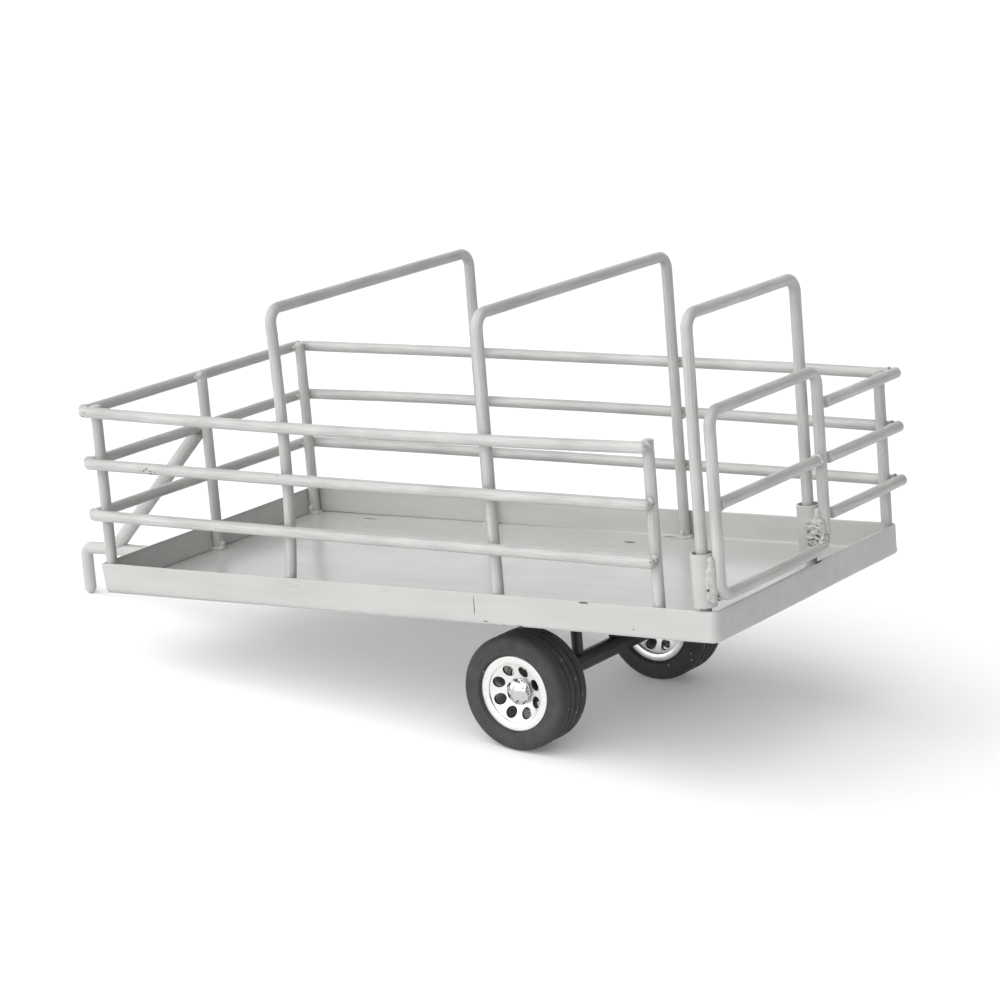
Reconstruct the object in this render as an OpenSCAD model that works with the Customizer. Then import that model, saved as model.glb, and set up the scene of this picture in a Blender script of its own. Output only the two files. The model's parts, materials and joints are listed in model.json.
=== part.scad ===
// Toy farm trailer: a welded sheet-metal tray with rod rails, three hoops,
// a lift gate that slides on the rear hoop, one axle and a rod hitch hook.
// Millimetres. +X runs from the hitch to the gate, +Z is up, and the origin is
// on the ground under the middle of the whole trailer. The deck is level.

/* [Tray] */
// Length of the tray, outside
tray_l = 304.8; // [260:0.1:360]
// Width of the tray, outside
tray_w = 152.4; // [130:0.1:180]
// Height of the tray's walls, outside
tray_h = 12.7; // [10:0.1:13.5]
// Thickness of the sheet
sheet_t = 1.2; // [0.8:0.1:1.5]
// Outside radius of the two bent rear corners
corner_r = 3.5; // [2:0.1:3.5]
// Height of the tray's underside above the ground
deck_z = 55.75; // [54:0.05:62]

/* [Rods] */
// Diameter of the rail, post, hoop and gate rods
rod_d = 4.76; // [4:0.02:5.2]
// Centreline radius of the bends in the hoops and the gate
bend_r = 6; // [4:0.5:8]

/* [Rails] */
// Height of the lowest rail above the tray's underside, at the hitch end
rail_low_z = 34; // [31:0.5:38]
// Height from one rail to the next
rail_pitch = 22.6; // [18:0.1:26]
// How much lower the rails are at the gate end than at the hitch end
rail_fall = 3.5; // [0:0.5:5]
// Distance from the gate end of the tray to the near side's end post
end_post_back = 27; // [20:1:60]

/* [Hoops and gate] */
// Height of the front and middle hoops above the tray's underside, to the bar's centre
hoop_h = 124.6; // [110:0.1:140]
// Height of the rear hoop, which carries the gate
gate_hoop_h = 126.6; // [118:0.1:140]
// Distance from the gate end of the tray to the rear hoop
gate_hoop_back = 6.4; // [6:0.1:8]
// Width of the rear hoop, between the centres of its legs
gate_w = 84.6; // [60:0.1:100]
// Height of the gate's bottom bar above the tray's underside, when it is down
gate_low_z = 17.8; // [17:0.1:20]
// Height of the gate's middle bar
gate_mid_z = 53.6; // [45:0.1:62]
// Height of the gate's top bar
gate_top_z = 89.6; // [80:0.1:95]
// Outside diameter of the gate's two sleeves
sleeve_d = 9.53; // [8.6:0.01:9.8]
// Bore of the sleeves
sleeve_bore = 7.9; // [6:0.1:8]
// Height of the sleeves
sleeve_h = 21; // [15:0.5:24]

/* [Hitch] */
// Diameter of the drawbar and its hook
drawbar_d = 5.6; // [4.8:0.1:6.4]
// Distance from the tray's front to the hook's centre
hook_reach = 74.6; // [60:0.1:95]
// Depth of the hook's tip below the tray's underside
hook_drop = 24.4; // [18:0.1:30]
// Centreline radius of the hook's bend
hook_bend_r = 3.6; // [3.4:0.1:6]
// Length of drawbar welded under the floor
drawbar_run = 90; // [40:1:150]
// Diameter of the brace
brace_d = 6.4; // [5:0.1:7]
// Distance from the tray's front to the foot of the brace
brace_foot = 57.5; // [45:0.5:58]

/* [Running gear] */
// Distance from the tray's front to the axle
axle_x = 200.5; // [170:0.5:240]
// Diameter of the tube that carries the axle
axle_tube_d = 7.94; // [7:0.02:8.6]
// Diameter of the axle rod that the wheels turn on
axle_d = 4.76; // [4:0.02:5]
// Radial running clearance of the wheels on the axle
axle_gap = 0.06; // [0.02:0.01:0.1]
// Distance from the middle of the trailer to each strut
strut_y = 14.7; // [10:0.1:30]
// Distance between the middles of the two wheels
track = 109.8; // [100:0.1:120]
// Outside diameter of the tyres
tyre_d = 48; // [44:0.1:50]
// Width of the tyres
tyre_w = 20.2; // [19:0.1:22]
// Diameter of the rims' flanges
rim_d = 31.6; // [30:0.1:33]
// Diameter of the round holes in the rims
rim_hole_d = 4.8; // [3:0.1:5]
// Diameter of the axle caps
cap_d = 11; // [9:0.1:11.2]

/* [Hidden] */
$fn = 64;
rod_r = rod_d / 2;
axle_z = tyre_d / 2;
// Rods that stand in the tray touch the inside of its walls
inset = sheet_t + rod_r;
near_y = inset;
far_y = tray_w - inset;
mid_y = tray_w / 2;
// Rails lie outside the posts and touch them
near_rail_y = near_y - rod_d;
far_rail_y = far_y + rod_d;
front_rail_x = inset - rod_d;
rear_rail_x = tray_l - inset + rod_d;
rail_heights = [rail_low_z, rail_low_z + rail_pitch, rail_low_z + 2 * rail_pitch];
end_post_x = tray_l - end_post_back;
hoop_1_x = tray_l / 3;
hoop_2_x = 2 * tray_l / 3;
gate_hoop_x = tray_l - gate_hoop_back;
gate_far_y = near_y + gate_w;
// The gate's uprights touch the outside of its sleeves
gate_x = gate_hoop_x + sleeve_d / 2 + rod_r;
sleeve_z = tray_h + 1.3;
rail_gate_gap = 2.4;
drawbar_z = -drawbar_d / 2;
brace_top_z = rail_heights[1] - 1.8;
// A sloping rail's square end leans, so it stops this much short of the rod that it meets
rail_end_gap = rod_r * rail_fall / tray_l;
// The whole trailer reaches from the hook's front to the rear rails' backs
total_l = hook_reach + drawbar_d / 2 + rear_rail_x + rod_r;
tray_x = hook_reach + drawbar_d / 2 - total_l / 2;
// Rim and tyre, measured from the wheel's middle plane
rim_half = tyre_w / 2 - 1.5;
flange_t = 1;
seat_r = rim_d / 2 - 1.6;
dish_r = rim_d / 2 - 3.4;
dish_step = 1.3;
hub_r = 5.8;
hub_half = rim_half - 4;
hole_circle_r = 9.3;
hole_count = 8;
groove_pitch = 3.8;
groove_w = 0.9;
groove_depth = 1.2;
shoulder_r = 3;
// The tyre's bead rises this far outside the rim's flange, and is rounded
bead_step = 0.3;
bead_r = 1.2;
// Gap between a hub and the axle tube or the axle cap
side_gap = 0.3;
cap_h = 3.4;
cap_rim = 0.8;
over = 1;

// Height of a rail at the distance x from the tray's front
function rail_z(level, x) = rail_heights[level] - rail_fall * x / tray_l;

// Places its children from the tray's front near bottom corner
module on_tray() {
    translate([tray_x, -mid_y, deck_z]) children();
}

// A straight rod between two points
module rod(from, to, d = rod_d) {
    run = to - from;
    translate(from)
        rotate([0, acos(run.z / norm(run)), atan2(run.y, run.x)])
            cylinder(h = norm(run), d = d);
}

// A quarter bend in the YZ plane, starting turned by the given angle
module elbow(turn) {
    rotate([90, 0, 90]) rotate(turn) rotate_extrude(angle = 90)
        translate([bend_r, 0]) circle(d = rod_d);
}

// ---- Tray ----

module tray_outline(inner) {
    r = corner_r - inner;
    translate([inner, inner]) square([tray_l - corner_r - inner, tray_w - 2 * inner]);
    translate([inner, corner_r]) square([tray_l - 2 * inner, tray_w - 2 * corner_r]);
    for (y = [corner_r, tray_w - corner_r]) translate([tray_l - corner_r, y]) circle(r = r);
}

module tray() {
    color("gainsboro") on_tray() difference() {
        linear_extrude(tray_h) tray_outline(0);
        translate([0, 0, sheet_t]) linear_extrude(tray_h) tray_outline(sheet_t);
    }
}

// ---- Posts, which stand on the floor and end level with the top rail ----

module post(x, y) {
    color("lightgray") on_tray()
        rod([x, y, sheet_t], [x, y, rail_z(2, x) + rod_r]);
}

module front_near_post() { post(inset, near_y); }
module front_far_post() { post(inset, far_y); }
module rear_far_post() { post(tray_l - inset, far_y); }
module near_end_post() { post(end_post_x, near_y); }
module centre_stake() { post(inset, mid_y); }

// ---- Rails ----

module side_rail(level, y, x_start, x_end) {
    color("lightgray") on_tray()
        rod([x_start, y, rail_z(level, x_start)], [x_end, y, rail_z(level, x_end)]);
}

module cross_rail(level, x, y_start, y_end) {
    z = rail_z(level, x);
    color("lightgray") on_tray() rod([x, y_start, z], [x, y_end, z]);
}

// The near rails lap the ends of the front rails and stop level with the end post
module near_rail(level) {
    side_rail(level, near_rail_y, front_rail_x, end_post_x + rod_r);
}

// The far rails butt against the rear rails
module far_rail(level) {
    side_rail(level, far_rail_y, inset - rod_r, rear_rail_x - rod_r - rail_end_gap);
}

module front_rail(level) {
    cross_rail(level, front_rail_x, near_y - rod_r, far_y + rod_r);
}

// The rear rails stop beside the gate
module rear_rail(level) {
    cross_rail(level, rear_rail_x, gate_far_y + rod_r + rail_gate_gap, far_rail_y + rod_r);
}

module near_rail_low() { near_rail(0); }
module near_rail_mid() { near_rail(1); }
module near_rail_top() { near_rail(2); }
module far_rail_low() { far_rail(0); }
module far_rail_mid() { far_rail(1); }
module far_rail_top() { far_rail(2); }
module front_rail_low() { front_rail(0); }
module front_rail_mid() { front_rail(1); }
module front_rail_top() { front_rail(2); }
module rear_rail_low() { rear_rail(0); }
module rear_rail_mid() { rear_rail(1); }
module rear_rail_top() { rear_rail(2); }

// ---- Hoops, each one bent rod with its feet on the floor ----

module hoop(x, y_end, height) {
    leg_top = height - bend_r;
    color("lightgray") on_tray() {
        rod([x, near_y, sheet_t], [x, near_y, leg_top]);
        rod([x, y_end, sheet_t], [x, y_end, leg_top]);
        rod([x, near_y + bend_r, height], [x, y_end - bend_r, height]);
        translate([x, near_y + bend_r, leg_top]) elbow(90);
        translate([x, y_end - bend_r, leg_top]) elbow(0);
    }
}

module front_hoop() { hoop(hoop_1_x, far_y, hoop_h); }
module middle_hoop() { hoop(hoop_2_x, far_y, hoop_h); }
module gate_hoop() { hoop(gate_hoop_x, gate_far_y, gate_hoop_h); }

// ---- Lift gate ----

module gate_frame() {
    low = gate_low_z + bend_r;
    high = gate_top_z - bend_r;
    left = near_y + bend_r;
    right = gate_far_y - bend_r;
    color("lightgray") on_tray() {
        for (y = [near_y, gate_far_y]) rod([gate_x, y, low], [gate_x, y, high]);
        for (z = [gate_low_z, gate_top_z]) rod([gate_x, left, z], [gate_x, right, z]);
        translate([gate_x, right, high]) elbow(0);
        translate([gate_x, left, high]) elbow(90);
        translate([gate_x, left, low]) elbow(180);
        translate([gate_x, right, low]) elbow(270);
    }
}

module gate_mid_bar() {
    color("lightgray") on_tray()
        rod([gate_x, near_y + rod_r, gate_mid_z], [gate_x, gate_far_y - rod_r, gate_mid_z]);
}

module gate_sleeve(y) {
    color("gainsboro") on_tray() translate([gate_hoop_x, y, sleeve_z]) difference() {
        cylinder(h = sleeve_h, d = sleeve_d);
        translate([0, 0, -over]) cylinder(h = sleeve_h + 2 * over, d = sleeve_bore);
    }
}

module near_gate_sleeve() { gate_sleeve(near_y); }
module far_gate_sleeve() { gate_sleeve(gate_far_y); }

// ---- Hitch ----

module drawbar() {
    bend_x = hook_bend_r - hook_reach;
    bend_z = drawbar_z - hook_bend_r;
    tip_z = drawbar_d / 2 - hook_drop;
    color("lightgray") on_tray() {
        rod([bend_x, mid_y, drawbar_z], [drawbar_run, mid_y, drawbar_z], drawbar_d);
        translate([bend_x, mid_y, bend_z]) rotate([90, 0, 0]) rotate(90)
            rotate_extrude(angle = 90) translate([hook_bend_r, 0]) circle(d = drawbar_d);
        rod([-hook_reach, mid_y, tip_z], [-hook_reach, mid_y, bend_z], drawbar_d);
        translate([-hook_reach, mid_y, tip_z]) sphere(d = drawbar_d);
    }
}

// The brace is shaped at both ends to the rods that it is welded to
module drawbar_brace() {
    foot = [-brace_foot, mid_y, drawbar_z];
    top = [front_rail_x, mid_y, brace_top_z];
    color("lightgray") on_tray() difference() {
        rod(foot, top, brace_d);
        rod([-2 * brace_foot, mid_y, drawbar_z], [0, mid_y, drawbar_z], drawbar_d);
        translate([-2 * brace_foot, 0, drawbar_z - 2 * brace_d])
            cube([2 * brace_foot, tray_w, 2 * brace_d]);
        rod([front_rail_x, 0, rail_z(1, front_rail_x)],
            [front_rail_x, tray_w, rail_z(1, front_rail_x)]);
        translate([front_rail_x, 0, brace_top_z - brace_d]) cube([brace_d, tray_w, 3 * brace_d]);
        translate([-brace_foot, 0, rail_z(1, 0)]) cube([brace_foot, tray_w, brace_d]);
    }
}

// ---- Running gear ----

// Turns a shape that stands along Z so that it lies along Y, facing outwards
module on_axle(y, side) {
    translate([tray_x + axle_x, y, axle_z]) rotate([side * 90, 0, 0]) children();
}

module axle_tube() {
    length = track - 2 * (hub_half + side_gap);
    color("dimgray") on_axle(0, 1) difference() {
        cylinder(h = length, d = axle_tube_d, center = true);
        cylinder(h = length + 2 * over, d = axle_d, center = true);
    }
}

module strut(y) {
    color("dimgray") difference() {
        translate([tray_x + axle_x, y, axle_z]) cylinder(h = deck_z - axle_z, d = rod_d);
        on_axle(y, 1) cylinder(h = 2 * rod_d, d = axle_tube_d, center = true);
    }
}

module near_strut() { strut(-strut_y); }
module far_strut() { strut(strut_y); }

module axle_rod() {
    length = track + 2 * (hub_half + side_gap + cap_h / 2);
    color("gray") on_axle(0, 1) cylinder(h = length, d = axle_d, center = true);
}

// Height of a cap's dome at the radius r, as part of a ball that meets the cap's rim
function dome_z(r) =
    let (ball = ((cap_d / 2) ^ 2 + (cap_h - cap_rim) ^ 2) / (2 * (cap_h - cap_rim)))
    sqrt(ball ^ 2 - r ^ 2) - ball + cap_h;

module axle_cap(side) {
    steps = 12;
    dome = [for (i = [0 : steps]) let (r = cap_d / 2 * (1 - i / steps)) [r, dome_z(r)]];
    color("silver") on_axle(side * -track / 2, side) translate([0, 0, hub_half + side_gap])
        difference() {
            rotate_extrude() polygon(concat([[0, 0], [cap_d / 2, 0]], dome));
            translate([0, 0, -over]) cylinder(h = cap_h / 2 + over, d = axle_d);
        }
}

module near_axle_cap() { axle_cap(1); }
module far_axle_cap() { axle_cap(-1); }

// Half of a wheel's section is mirrored to make the whole of it
function mirrored(half) = concat(half, [for (i = [len(half) - 1 : -1 : 0]) [half[i].x, -half[i].y]]);

module rim(side) {
    half = [
        [axle_d / 2 + axle_gap, hub_half], [hub_r, hub_half],
        [dish_r, rim_half - dish_step], [dish_r, rim_half],
        [rim_d / 2, rim_half], [rim_d / 2, rim_half - flange_t],
        [seat_r, rim_half - flange_t],
    ];
    color("whitesmoke") on_axle(side * -track / 2, side) difference() {
        rotate_extrude() polygon(mirrored(half));
        for (i = [0 : hole_count - 1]) rotate((i + 0.5) * 360 / hole_count)
            translate([hole_circle_r, 0, -tyre_w / 2]) cylinder(h = tyre_w, d = rim_hole_d);
    }
}

module near_rim() { rim(1); }
module far_rim() { rim(-1); }

// Half of a tyre's section, from the bead round the sidewall to the middle of the tread
function tyre_half() = concat(
    [[seat_r, rim_half - flange_t], [rim_d / 2, rim_half - flange_t], [rim_d / 2, rim_half]],
    [for (a = [90 : -15 : 0])
        [rim_d / 2 + bead_r * (1 - sin(a)) + bead_step, tyre_w / 2 - bead_r * (1 - cos(a))]],
    [for (a = [0 : 10 : 90])
        [tyre_d / 2 - shoulder_r * (1 - sin(a)), tyre_w / 2 - shoulder_r * (1 - cos(a))]],
    groove(groove_pitch),
    [[tyre_d / 2, groove_w / 2], [tyre_d / 2 - groove_depth, groove_w / 2]]
);

function groove(y) = [
    [tyre_d / 2, y + groove_w / 2], [tyre_d / 2 - groove_depth, y + groove_w / 2],
    [tyre_d / 2 - groove_depth, y - groove_w / 2], [tyre_d / 2, y - groove_w / 2],
];

module tyre(side) {
    color("dimgray") on_axle(side * -track / 2, side) rotate_extrude()
        polygon(mirrored(tyre_half()));
}

module near_tyre() { tyre(1); }
module far_tyre() { tyre(-1); }

tray();
front_near_post();
front_far_post();
rear_far_post();
near_end_post();
centre_stake();
near_rail_low();
near_rail_mid();
near_rail_top();
far_rail_low();
far_rail_mid();
far_rail_top();
front_rail_low();
front_rail_mid();
front_rail_top();
rear_rail_low();
rear_rail_mid();
rear_rail_top();
front_hoop();
middle_hoop();
gate_hoop();
gate_frame();
gate_mid_bar();
near_gate_sleeve();
far_gate_sleeve();
drawbar();
drawbar_brace();
axle_tube();
near_strut();
far_strut();
axle_rod();
near_axle_cap();
far_axle_cap();
near_rim();
near_tyre();
far_rim();
far_tyre();
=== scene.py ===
# %% [markdown]
# # A hand-welded toy farm trailer
# The real object is a toy stock trailer, about 386 mm long, made in a home workshop:
# a folded sheet tray, rails and hoops of 3/16 inch rod, a lift gate that slides on
# the rear hoop, and two bought wheels. The CAD model holds every size and place.
# This script remakes each piece around that model with the things a CAD solid leaves
# out: hand-bent lines, weld beads, brush marks, chips, dust and rounded edges.

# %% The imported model
import json
import math

import bmesh
import bpy
from mathutils import Matrix, Quaternion, Vector, noise

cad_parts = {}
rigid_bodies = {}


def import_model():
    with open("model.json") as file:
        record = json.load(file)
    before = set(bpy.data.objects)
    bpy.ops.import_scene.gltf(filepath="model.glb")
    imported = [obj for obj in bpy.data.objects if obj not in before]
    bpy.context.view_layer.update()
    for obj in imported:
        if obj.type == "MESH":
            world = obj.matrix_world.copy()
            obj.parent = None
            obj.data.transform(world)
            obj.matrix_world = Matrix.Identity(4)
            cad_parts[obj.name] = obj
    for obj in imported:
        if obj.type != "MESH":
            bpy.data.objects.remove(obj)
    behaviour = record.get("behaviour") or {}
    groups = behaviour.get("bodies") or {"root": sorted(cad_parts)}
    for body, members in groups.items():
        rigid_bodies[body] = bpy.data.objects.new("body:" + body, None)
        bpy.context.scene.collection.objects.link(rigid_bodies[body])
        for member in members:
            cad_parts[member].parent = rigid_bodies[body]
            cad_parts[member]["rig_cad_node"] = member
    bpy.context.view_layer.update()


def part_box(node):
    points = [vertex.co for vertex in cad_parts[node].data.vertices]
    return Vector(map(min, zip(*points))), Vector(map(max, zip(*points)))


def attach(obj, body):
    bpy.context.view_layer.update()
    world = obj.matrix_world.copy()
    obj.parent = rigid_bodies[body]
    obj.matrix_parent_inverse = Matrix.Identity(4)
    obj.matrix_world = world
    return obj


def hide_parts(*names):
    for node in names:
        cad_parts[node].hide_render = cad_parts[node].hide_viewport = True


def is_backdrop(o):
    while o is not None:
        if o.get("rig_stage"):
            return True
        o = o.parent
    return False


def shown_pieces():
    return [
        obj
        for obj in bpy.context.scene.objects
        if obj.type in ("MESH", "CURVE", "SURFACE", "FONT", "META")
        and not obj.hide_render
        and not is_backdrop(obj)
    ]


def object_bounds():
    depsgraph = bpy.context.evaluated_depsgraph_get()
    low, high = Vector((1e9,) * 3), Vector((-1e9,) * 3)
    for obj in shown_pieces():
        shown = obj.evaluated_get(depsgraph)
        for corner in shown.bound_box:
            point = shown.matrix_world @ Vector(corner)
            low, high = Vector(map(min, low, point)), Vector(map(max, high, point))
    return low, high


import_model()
MM = 0.001

# %% [markdown]
# ## Measures
# Nothing is typed in twice if the model can be asked. A straight rod's diameter is
# the short side of its box, the tray's underside is the bottom of its box, and so on.
# Only sizes that a box can't show, such as a bend's radius, are named here again.

# %% Sizes taken from the frame
tray_low, tray_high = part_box("tray")
post_low, post_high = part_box("centre_stake")
ROD_R = (post_high.x - post_low.x) / 2
SHEET = 1.2 * MM
BEND_R = 6 * MM
HOOK_BEND_R = 3.6 * MM
FLOOR_Z = tray_low.z + SHEET


def middle(node):
    """The middle of a CAD node's box."""
    low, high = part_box(node)
    return (low + high) / 2


print("rod diameter, mm:", round(2 * ROD_R / MM, 2), " floor at z =", round(FLOOR_Z / MM, 2))

# %% [markdown]
# ## Camera
# The trailer is looked at from its near side and a little from behind, through a long
# lens. It was standing nose-down on its hook, so in its own level frame the camera
# leans over a few degrees. The camera is placed by where it aims, from which side, how
# far away and how far it leans, because those are numbers a person can change by hand.

# %% The camera
AIM = Vector((0.0297, 0.0183, 0.0827))
DISTANCE = 1.4528
AZIMUTH, ELEVATION, ROLL = (math.radians(v) for v in (34.47, 12.15, -4.68))

camera_data = bpy.data.cameras.new("studio_camera")
camera_data.sensor_width, camera_data.lens = 36, 122.43
camera_data.clip_start, camera_data.clip_end = 0.05, 60
camera = bpy.data.objects.new("studio_camera", camera_data)
back = Vector((math.sin(AZIMUTH) * math.cos(ELEVATION), -math.cos(AZIMUTH) * math.cos(ELEVATION),
               math.sin(ELEVATION)))
camera.location = AIM + back * DISTANCE
camera.rotation_mode = "QUATERNION"
camera.rotation_quaternion = (-back).to_track_quat("-Z", "Y") @ Quaternion((0, 0, 1), ROLL)
bpy.context.scene.collection.objects.link(camera)
bpy.context.scene.camera = camera
print("camera at", [round(v, 3) for v in camera.location])

# %% [markdown]
# ## Small tools
# A few helpers serve the whole script. One turns a hex colour, which is how people
# pick colours, into the linear numbers that a renderer needs. One adds a node, with
# its settings and its links, to any node tree. Two start and end a material, and the
# last ones start a Geometry Nodes tree, run it, and keep the result as a plain mesh.


# %% Colours and nodes
def linear(hex_colour):
    """Turns an sRGB hex colour into linear red, green, blue and alpha."""
    parts = [int(hex_colour[i:i + 2], 16) / 255 for i in (1, 3, 5)]
    return [p / 12.92 if p <= 0.04045 else ((p + 0.055) / 1.055) ** 2.4 for p in parts] + [1]


def add(tree, kind, inputs=None, **settings):
    """Adds a node. inputs maps an input's name or number to a value or another node's output."""
    node = tree.nodes.new(kind)
    for name, value in settings.items():
        setattr(node, name, value)
    for name, value in (inputs or {}).items():
        if isinstance(value, bpy.types.NodeSocket):
            tree.links.new(value, node.inputs[name])
        else:
            node.inputs[name].default_value = value
    return node


# %% The start and the end of a material
def start_material(name, attribute=""):
    """A new material, its tree, and places in mm, from an attribute or from the object."""
    material = bpy.data.materials.new(name)
    material.use_nodes = True
    tree = material.node_tree
    if attribute:
        place = add(tree, "ShaderNodeAttribute", attribute_name=attribute).outputs["Vector"]
    else:
        place = add(tree, "ShaderNodeTexCoord").outputs["Object"]
    in_mm = add(tree, "ShaderNodeMapping", {"Vector": place, "Scale": (1000, 1000, 1000)}).outputs[0]
    return material, tree, in_mm


def end_material(tree, colour, roughness, relief, **fixed):
    """Links the look to the shader, and sets the inputs that are one number all over."""
    shader = tree.nodes["Principled BSDF"]
    for socket, value in {"Base Color": colour, "Roughness": roughness, "Normal": relief}.items():
        tree.links.new(value, shader.inputs[socket])
    for socket, value in fixed.items():
        shader.inputs[socket].default_value = value


# %% Geometry Nodes trees and what becomes of them
def geometry_tree(name, inputs):
    """Starts a tree with the named inputs, and returns it with its input sockets."""
    tree = bpy.data.node_groups.new(name, "GeometryNodeTree")
    tree.interface.new_socket("Geometry", in_out="OUTPUT", socket_type="NodeSocketGeometry")
    tree.interface.new_socket("Geometry", in_out="INPUT", socket_type="NodeSocketGeometry")
    for label, kind in inputs.items():
        tree.interface.new_socket(label, in_out="INPUT", socket_type="NodeSocket" + kind)
    return tree, add(tree, "NodeGroupInput").outputs


def close_tree(tree, geometry, material):
    """Ends a tree with smooth shading, real geometry and its material."""
    smooth = add(tree, "GeometryNodeSetShadeSmooth", {"Geometry": geometry})
    real = add(tree, "GeometryNodeRealizeInstances", {"Geometry": smooth.outputs[0]})
    painted = add(tree, "GeometryNodeSetMaterial", {"Geometry": real.outputs[0], "Material": material})
    add(tree, "NodeGroupOutput", {0: painted.outputs[0]})


def show(name, mesh):
    """Puts a mesh in the scene as an object at the origin."""
    piece = bpy.data.objects.new(name, mesh)
    bpy.context.scene.collection.objects.link(piece)
    return piece


def chains_mesh(name, chains, bead_sizes=None):
    """Lines through lists of points, as a mesh of edges, with an optional size for each line."""
    points, edges, sizes = [], [], []
    for number, chain in enumerate(chains):
        edges += [(len(points) + i, len(points) + i + 1) for i in range(len(chain) - 1)]
        points += chain
        sizes += [bead_sizes[number] if bead_sizes else 0] * len(chain)
    mesh = bpy.data.meshes.new(name)
    mesh.from_pydata(points, edges, [])
    mesh.attributes.new("bead_size", "FLOAT", "POINT").data.foreach_set("value", sizes)
    return mesh


def run_tree(name, tree, source, values):
    """Runs a tree on a mesh and returns the result as a new plain mesh object."""
    carrier = show("carrier", source)
    modifier = carrier.modifiers.new(tree.name, "NODES")
    modifier.node_group = tree
    sockets = {s.name: s.identifier for s in tree.interface.items_tree if s.in_out == "INPUT"}
    for label, value in values.items():
        modifier[sockets[label]] = value
    depsgraph = bpy.context.evaluated_depsgraph_get()
    made = bpy.data.meshes.new_from_object(carrier.evaluated_get(depsgraph), depsgraph=depsgraph)
    carrier.modifiers.remove(modifier)
    bpy.data.objects.remove(carrier)
    made.name = name
    return show(name, made)


def hand_over(piece, body, slot, *nodes):
    """Makes a piece move with its body, and stand for its CAD nodes, which it hides."""
    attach(piece, body)
    if nodes:
        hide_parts(*nodes)
    return piece


# %% [markdown]
# ## Brushed-on enamel
# The trailer was painted with a small brush, in a pale grey oil enamel, over welded
# steel. Enamel levels out well on flat sheet, so the tray is smooth and shines enough
# to mirror its own rods dimly. On thin rods it keeps low ridges along the strokes. It
# chips down to dark steel at edges and welds, and traps specks of dirt. Its gloss is a
# half gloss, with a roughness of 0.2 to 0.3 and the index of any paint, about 1.5. The
# strokes follow a rod's length, so on rods the pattern reads an attribute that
# straightens the rod out, and on the sheet it reads object coordinates. Both come in
# metres and are turned to millimetres, so that one over a noise scale is a mark's size.


# %% Marks at known places
def marks_at(tree, in_mm, places):
    """How much of a mark there is: each one is an egg shape round a place, with a ragged edge."""
    ragged = add(tree, "ShaderNodeTexNoise",
                 {"Vector": in_mm, "Scale": 1 / 0.8, "Detail": 2}).outputs["Fac"]
    total = add(tree, "ShaderNodeMath", {0: 0, 1: 0}).outputs[0]
    for place, reach in places:
        offset = add(tree, "ShaderNodeVectorMath", {0: in_mm, 1: place}, operation="SUBTRACT").outputs[0]
        share = add(tree, "ShaderNodeVectorMath", {0: offset, 1: reach}, operation="DIVIDE").outputs[0]
        length = add(tree, "ShaderNodeVectorMath", {0: share}, operation="LENGTH").outputs["Value"]
        frayed = add(tree, "ShaderNodeMath", {0: length, 1: ragged}, operation="ADD").outputs[0]
        inside = add(tree, "ShaderNodeMapRange",
                     {"Value": frayed, "From Min": 1.5, "From Max": 1.2}).outputs[0]
        total = add(tree, "ShaderNodeMath", {0: total, 1: inside}, operation="MAXIMUM").outputs[0]
    return total


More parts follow.
